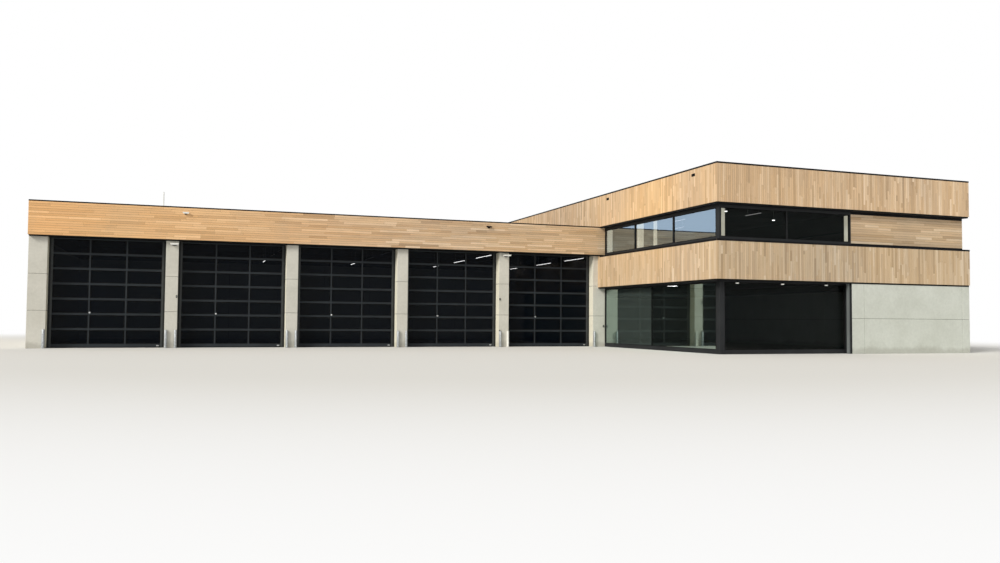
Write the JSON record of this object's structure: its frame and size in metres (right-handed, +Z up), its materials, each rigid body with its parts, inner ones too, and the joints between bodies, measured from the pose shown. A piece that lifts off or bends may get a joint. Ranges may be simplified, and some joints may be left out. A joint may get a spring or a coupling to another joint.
{
  "type": "fire station building",
  "caption": "Fire station: single storey vehicle hall with glazed sectional doors and concrete piers under a timber fascia, beside a two storey timber clad block with strip windows.",
  "frame": {"origin": "middle of the building's plan box, on the ground", "axes": "+X along the front from the vehicle hall to the block, +Y from the front to the rear, +Z up"},
  "size_m": [38.18, 26.03, 7.515],
  "materials": {
    "timber_cladding": "oiled boards in mixed lengths",
    "concrete": "smooth precast",
    "dark_metal": "satin anthracite",
    "grey_metal": "satin grey",
    "glass": "dark tinted and reflective",
    "floor_concrete": "power floated",
    "roofing": "matt membrane",
    "white_paint": "satin white",
    "galvanised": "galvanised"
  },
  "bodies": {
    "root": {"ground_floors": "floor_concrete", "block_first_floor": "concrete", "hall_roof": "roofing", "block_roof": "roofing", "piers": "concrete", "hall_fascia": "timber_cladding", "hall_side_fascia": "timber_cladding", "hall_rear_fascia": "timber_cladding", "door_head": "dark_metal", "hall_coping": "dark_metal", "door_tracks": "dark_metal", "door_glass": "glass", "hall_left_wall": "concrete", "hall_rear_wall": "concrete", "dividing_wall": "concrete", "lower_band_ends": "timber_cladding", "lower_band_sides": "timber_cladding", "top_band_ends": "timber_cladding", "top_band_sides": "timber_cladding", "soffits": "dark_metal", "strip_frame_left": "dark_metal", "strip_frame_front": "dark_metal", "plain_window_frames": "dark_metal", "strip_glass": "glass", "upper_wall_front": "timber_cladding", "upper_wall_right": "timber_cladding", "upper_wall_rear": "timber_cladding", "showroom_frame_left": "dark_metal", "showroom_frame_front": "dark_metal", "showroom_glass": "glass", "showroom_columns": "grey_metal", "concrete_front_wall": "concrete", "block_right_wall": "concrete", "block_rear_wall": "concrete", "block_coping": "dark_metal", "inner_columns": "white_paint", "lamps": "white_paint", "overflow_outlets": "dark_metal", "guard_posts": "galvanised", "roof_mast": "white_paint", "door_1": "dark_metal", "door_2": "dark_metal", "door_3": "dark_metal", "door_4": "dark_metal", "door_5": "dark_metal"}
  },
  "joints": []
}
